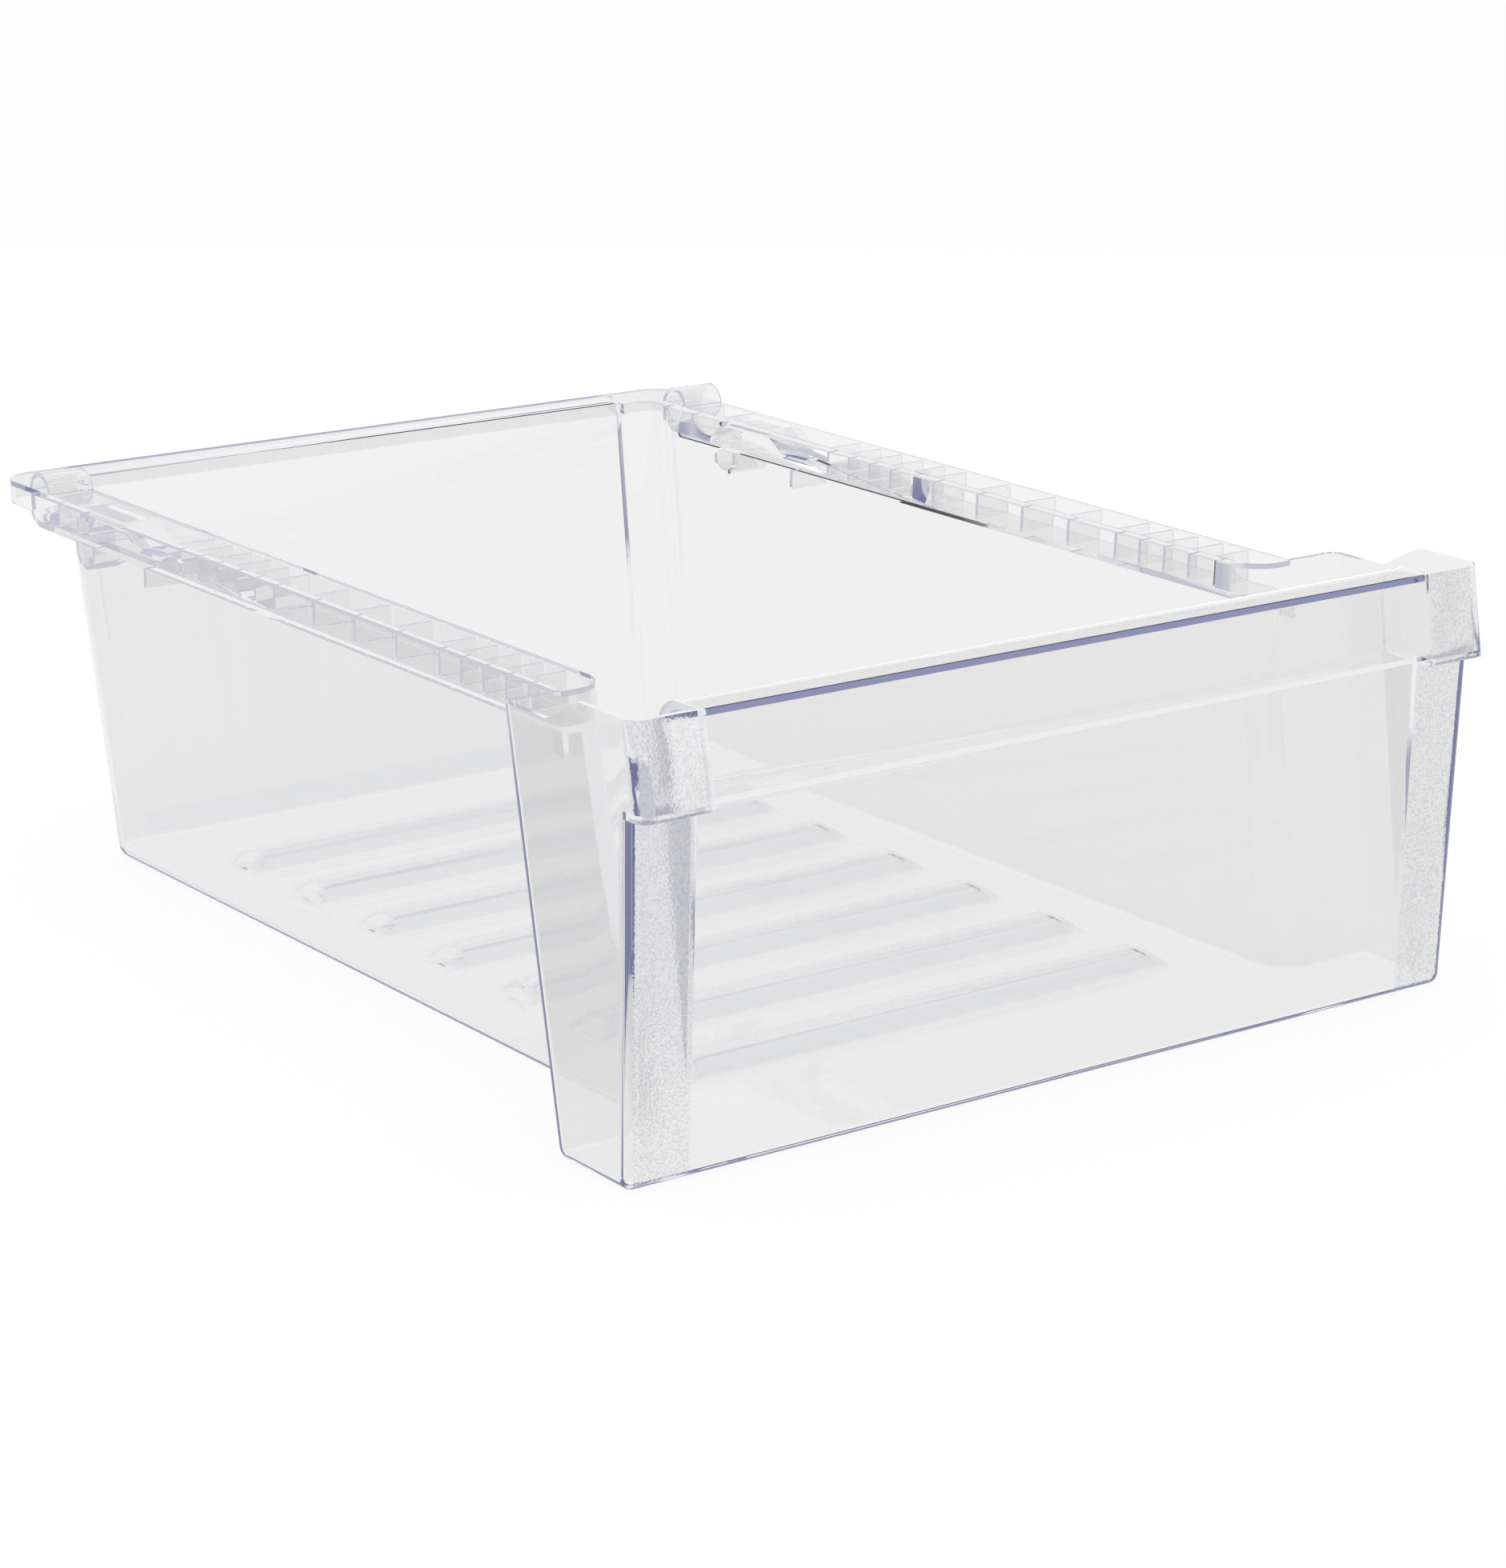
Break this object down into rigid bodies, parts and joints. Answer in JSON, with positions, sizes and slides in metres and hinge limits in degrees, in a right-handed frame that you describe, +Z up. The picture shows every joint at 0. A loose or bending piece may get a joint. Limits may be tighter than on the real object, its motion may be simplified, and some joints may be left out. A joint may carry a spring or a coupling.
{
  "type": "fridge crisper drawer",
  "caption": "Clear moulded fridge crisper drawer: tapered tub with a wider front, handle lip over a finger recess, ribbed floor and channelled side rails that slide on the fridge's guides.",
  "frame": {"origin": "middle of the footprint, on the underside of the floor", "axes": "+X to the drawer's right seen from the front, +Y towards its back, +Z up; the front panel faces -Y"},
  "size_m": [0.4, 0.5234, 0.1731],
  "materials": {
    "clear_plastic": "clear injection-moulded polystyrene, polished, with fine grain on the outer front corners"
  },
  "bodies": {
    "root": {"drawer": "clear_plastic"}
  },
  "joints": []
}
